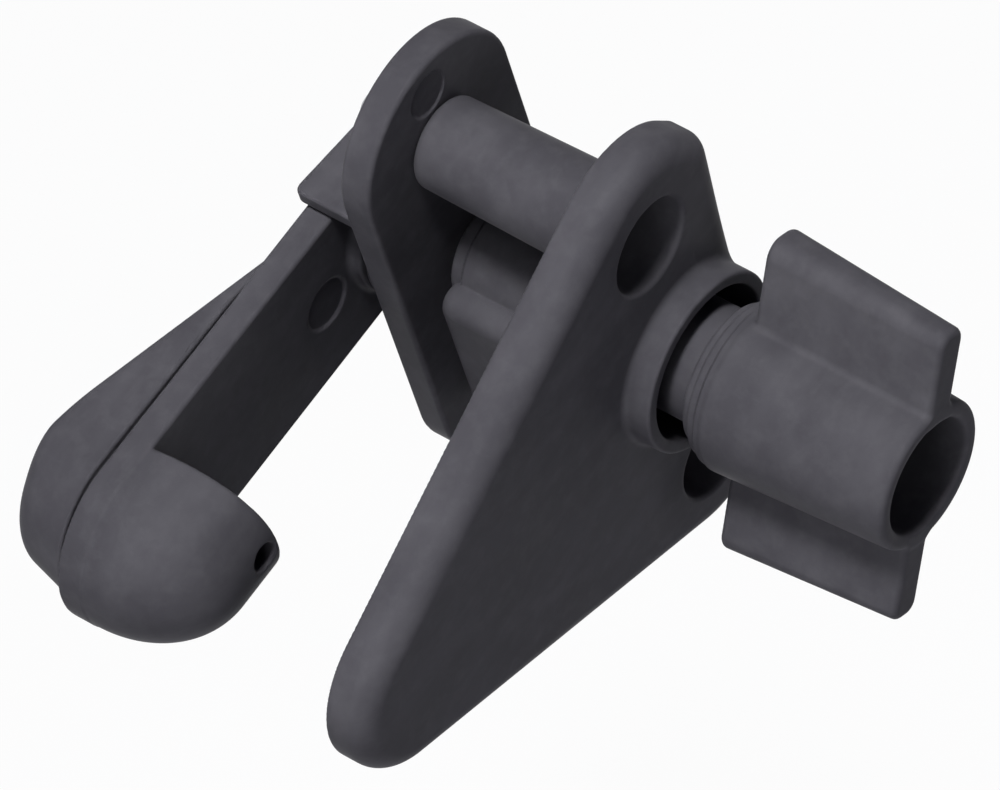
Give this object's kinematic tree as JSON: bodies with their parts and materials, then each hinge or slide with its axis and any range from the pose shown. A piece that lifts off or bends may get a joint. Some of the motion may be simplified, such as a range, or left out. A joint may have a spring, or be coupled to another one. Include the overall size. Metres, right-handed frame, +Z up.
{
  "type": "gate latch",
  "caption": "Two-sided gate latch in black nylon: a wing knob on a pointed guard plate turns a sprung, domed hook arm behind the gate.",
  "frame": {"origin": "on the pivot axis, at the front plate's inner face, which bears on the gate's stile", "axes": "+X away from the arm's free end, +Y to the rear along the pivot axis, +Z up"},
  "size_m": [0.1029, 0.1184, 0.0964],
  "materials": {
    "nylon": "satin, fine mould texture",
    "stainless": "turned and rolled stainless steel",
    "spring_wire": "drawn wire",
    "acetal": "satin natural acetal"
  },
  "bodies": {
    "base": {"front_plate": "nylon", "rear_plate": "nylon", "clamp_screws": "stainless", "clamp_nuts": "stainless", "clamp_nut_washers": "stainless", "clamp_head_washers": "stainless", "pivot_spring": "spring_wire", "friction_washer": "acetal"},
    "carriage": {"spring_washer": "acetal"},
    "latch": {"wing_knob": "nylon", "pivot_spindle": "stainless", "knob_screw": "stainless", "knob_screw_washer": "stainless", "latch_arm": "nylon", "arm_screw": "stainless", "arm_screw_washer": "stainless"}
  },
  "joints": [
    {"name": "push", "type": "slide", "parent": "base", "child": "carriage", "axis": [0, 1, 0], "range_m": [0, 0.004], "stiffness_N_per_m": 2450, "springref_m": -0.004, "deforming": ["pivot_spring"]},
    {"name": "turn", "type": "hinge", "parent": "carriage", "child": "latch", "pos_m": [0, 0, 0], "axis": [0, -1, 0], "range_deg": [0, 90]}
  ]
}
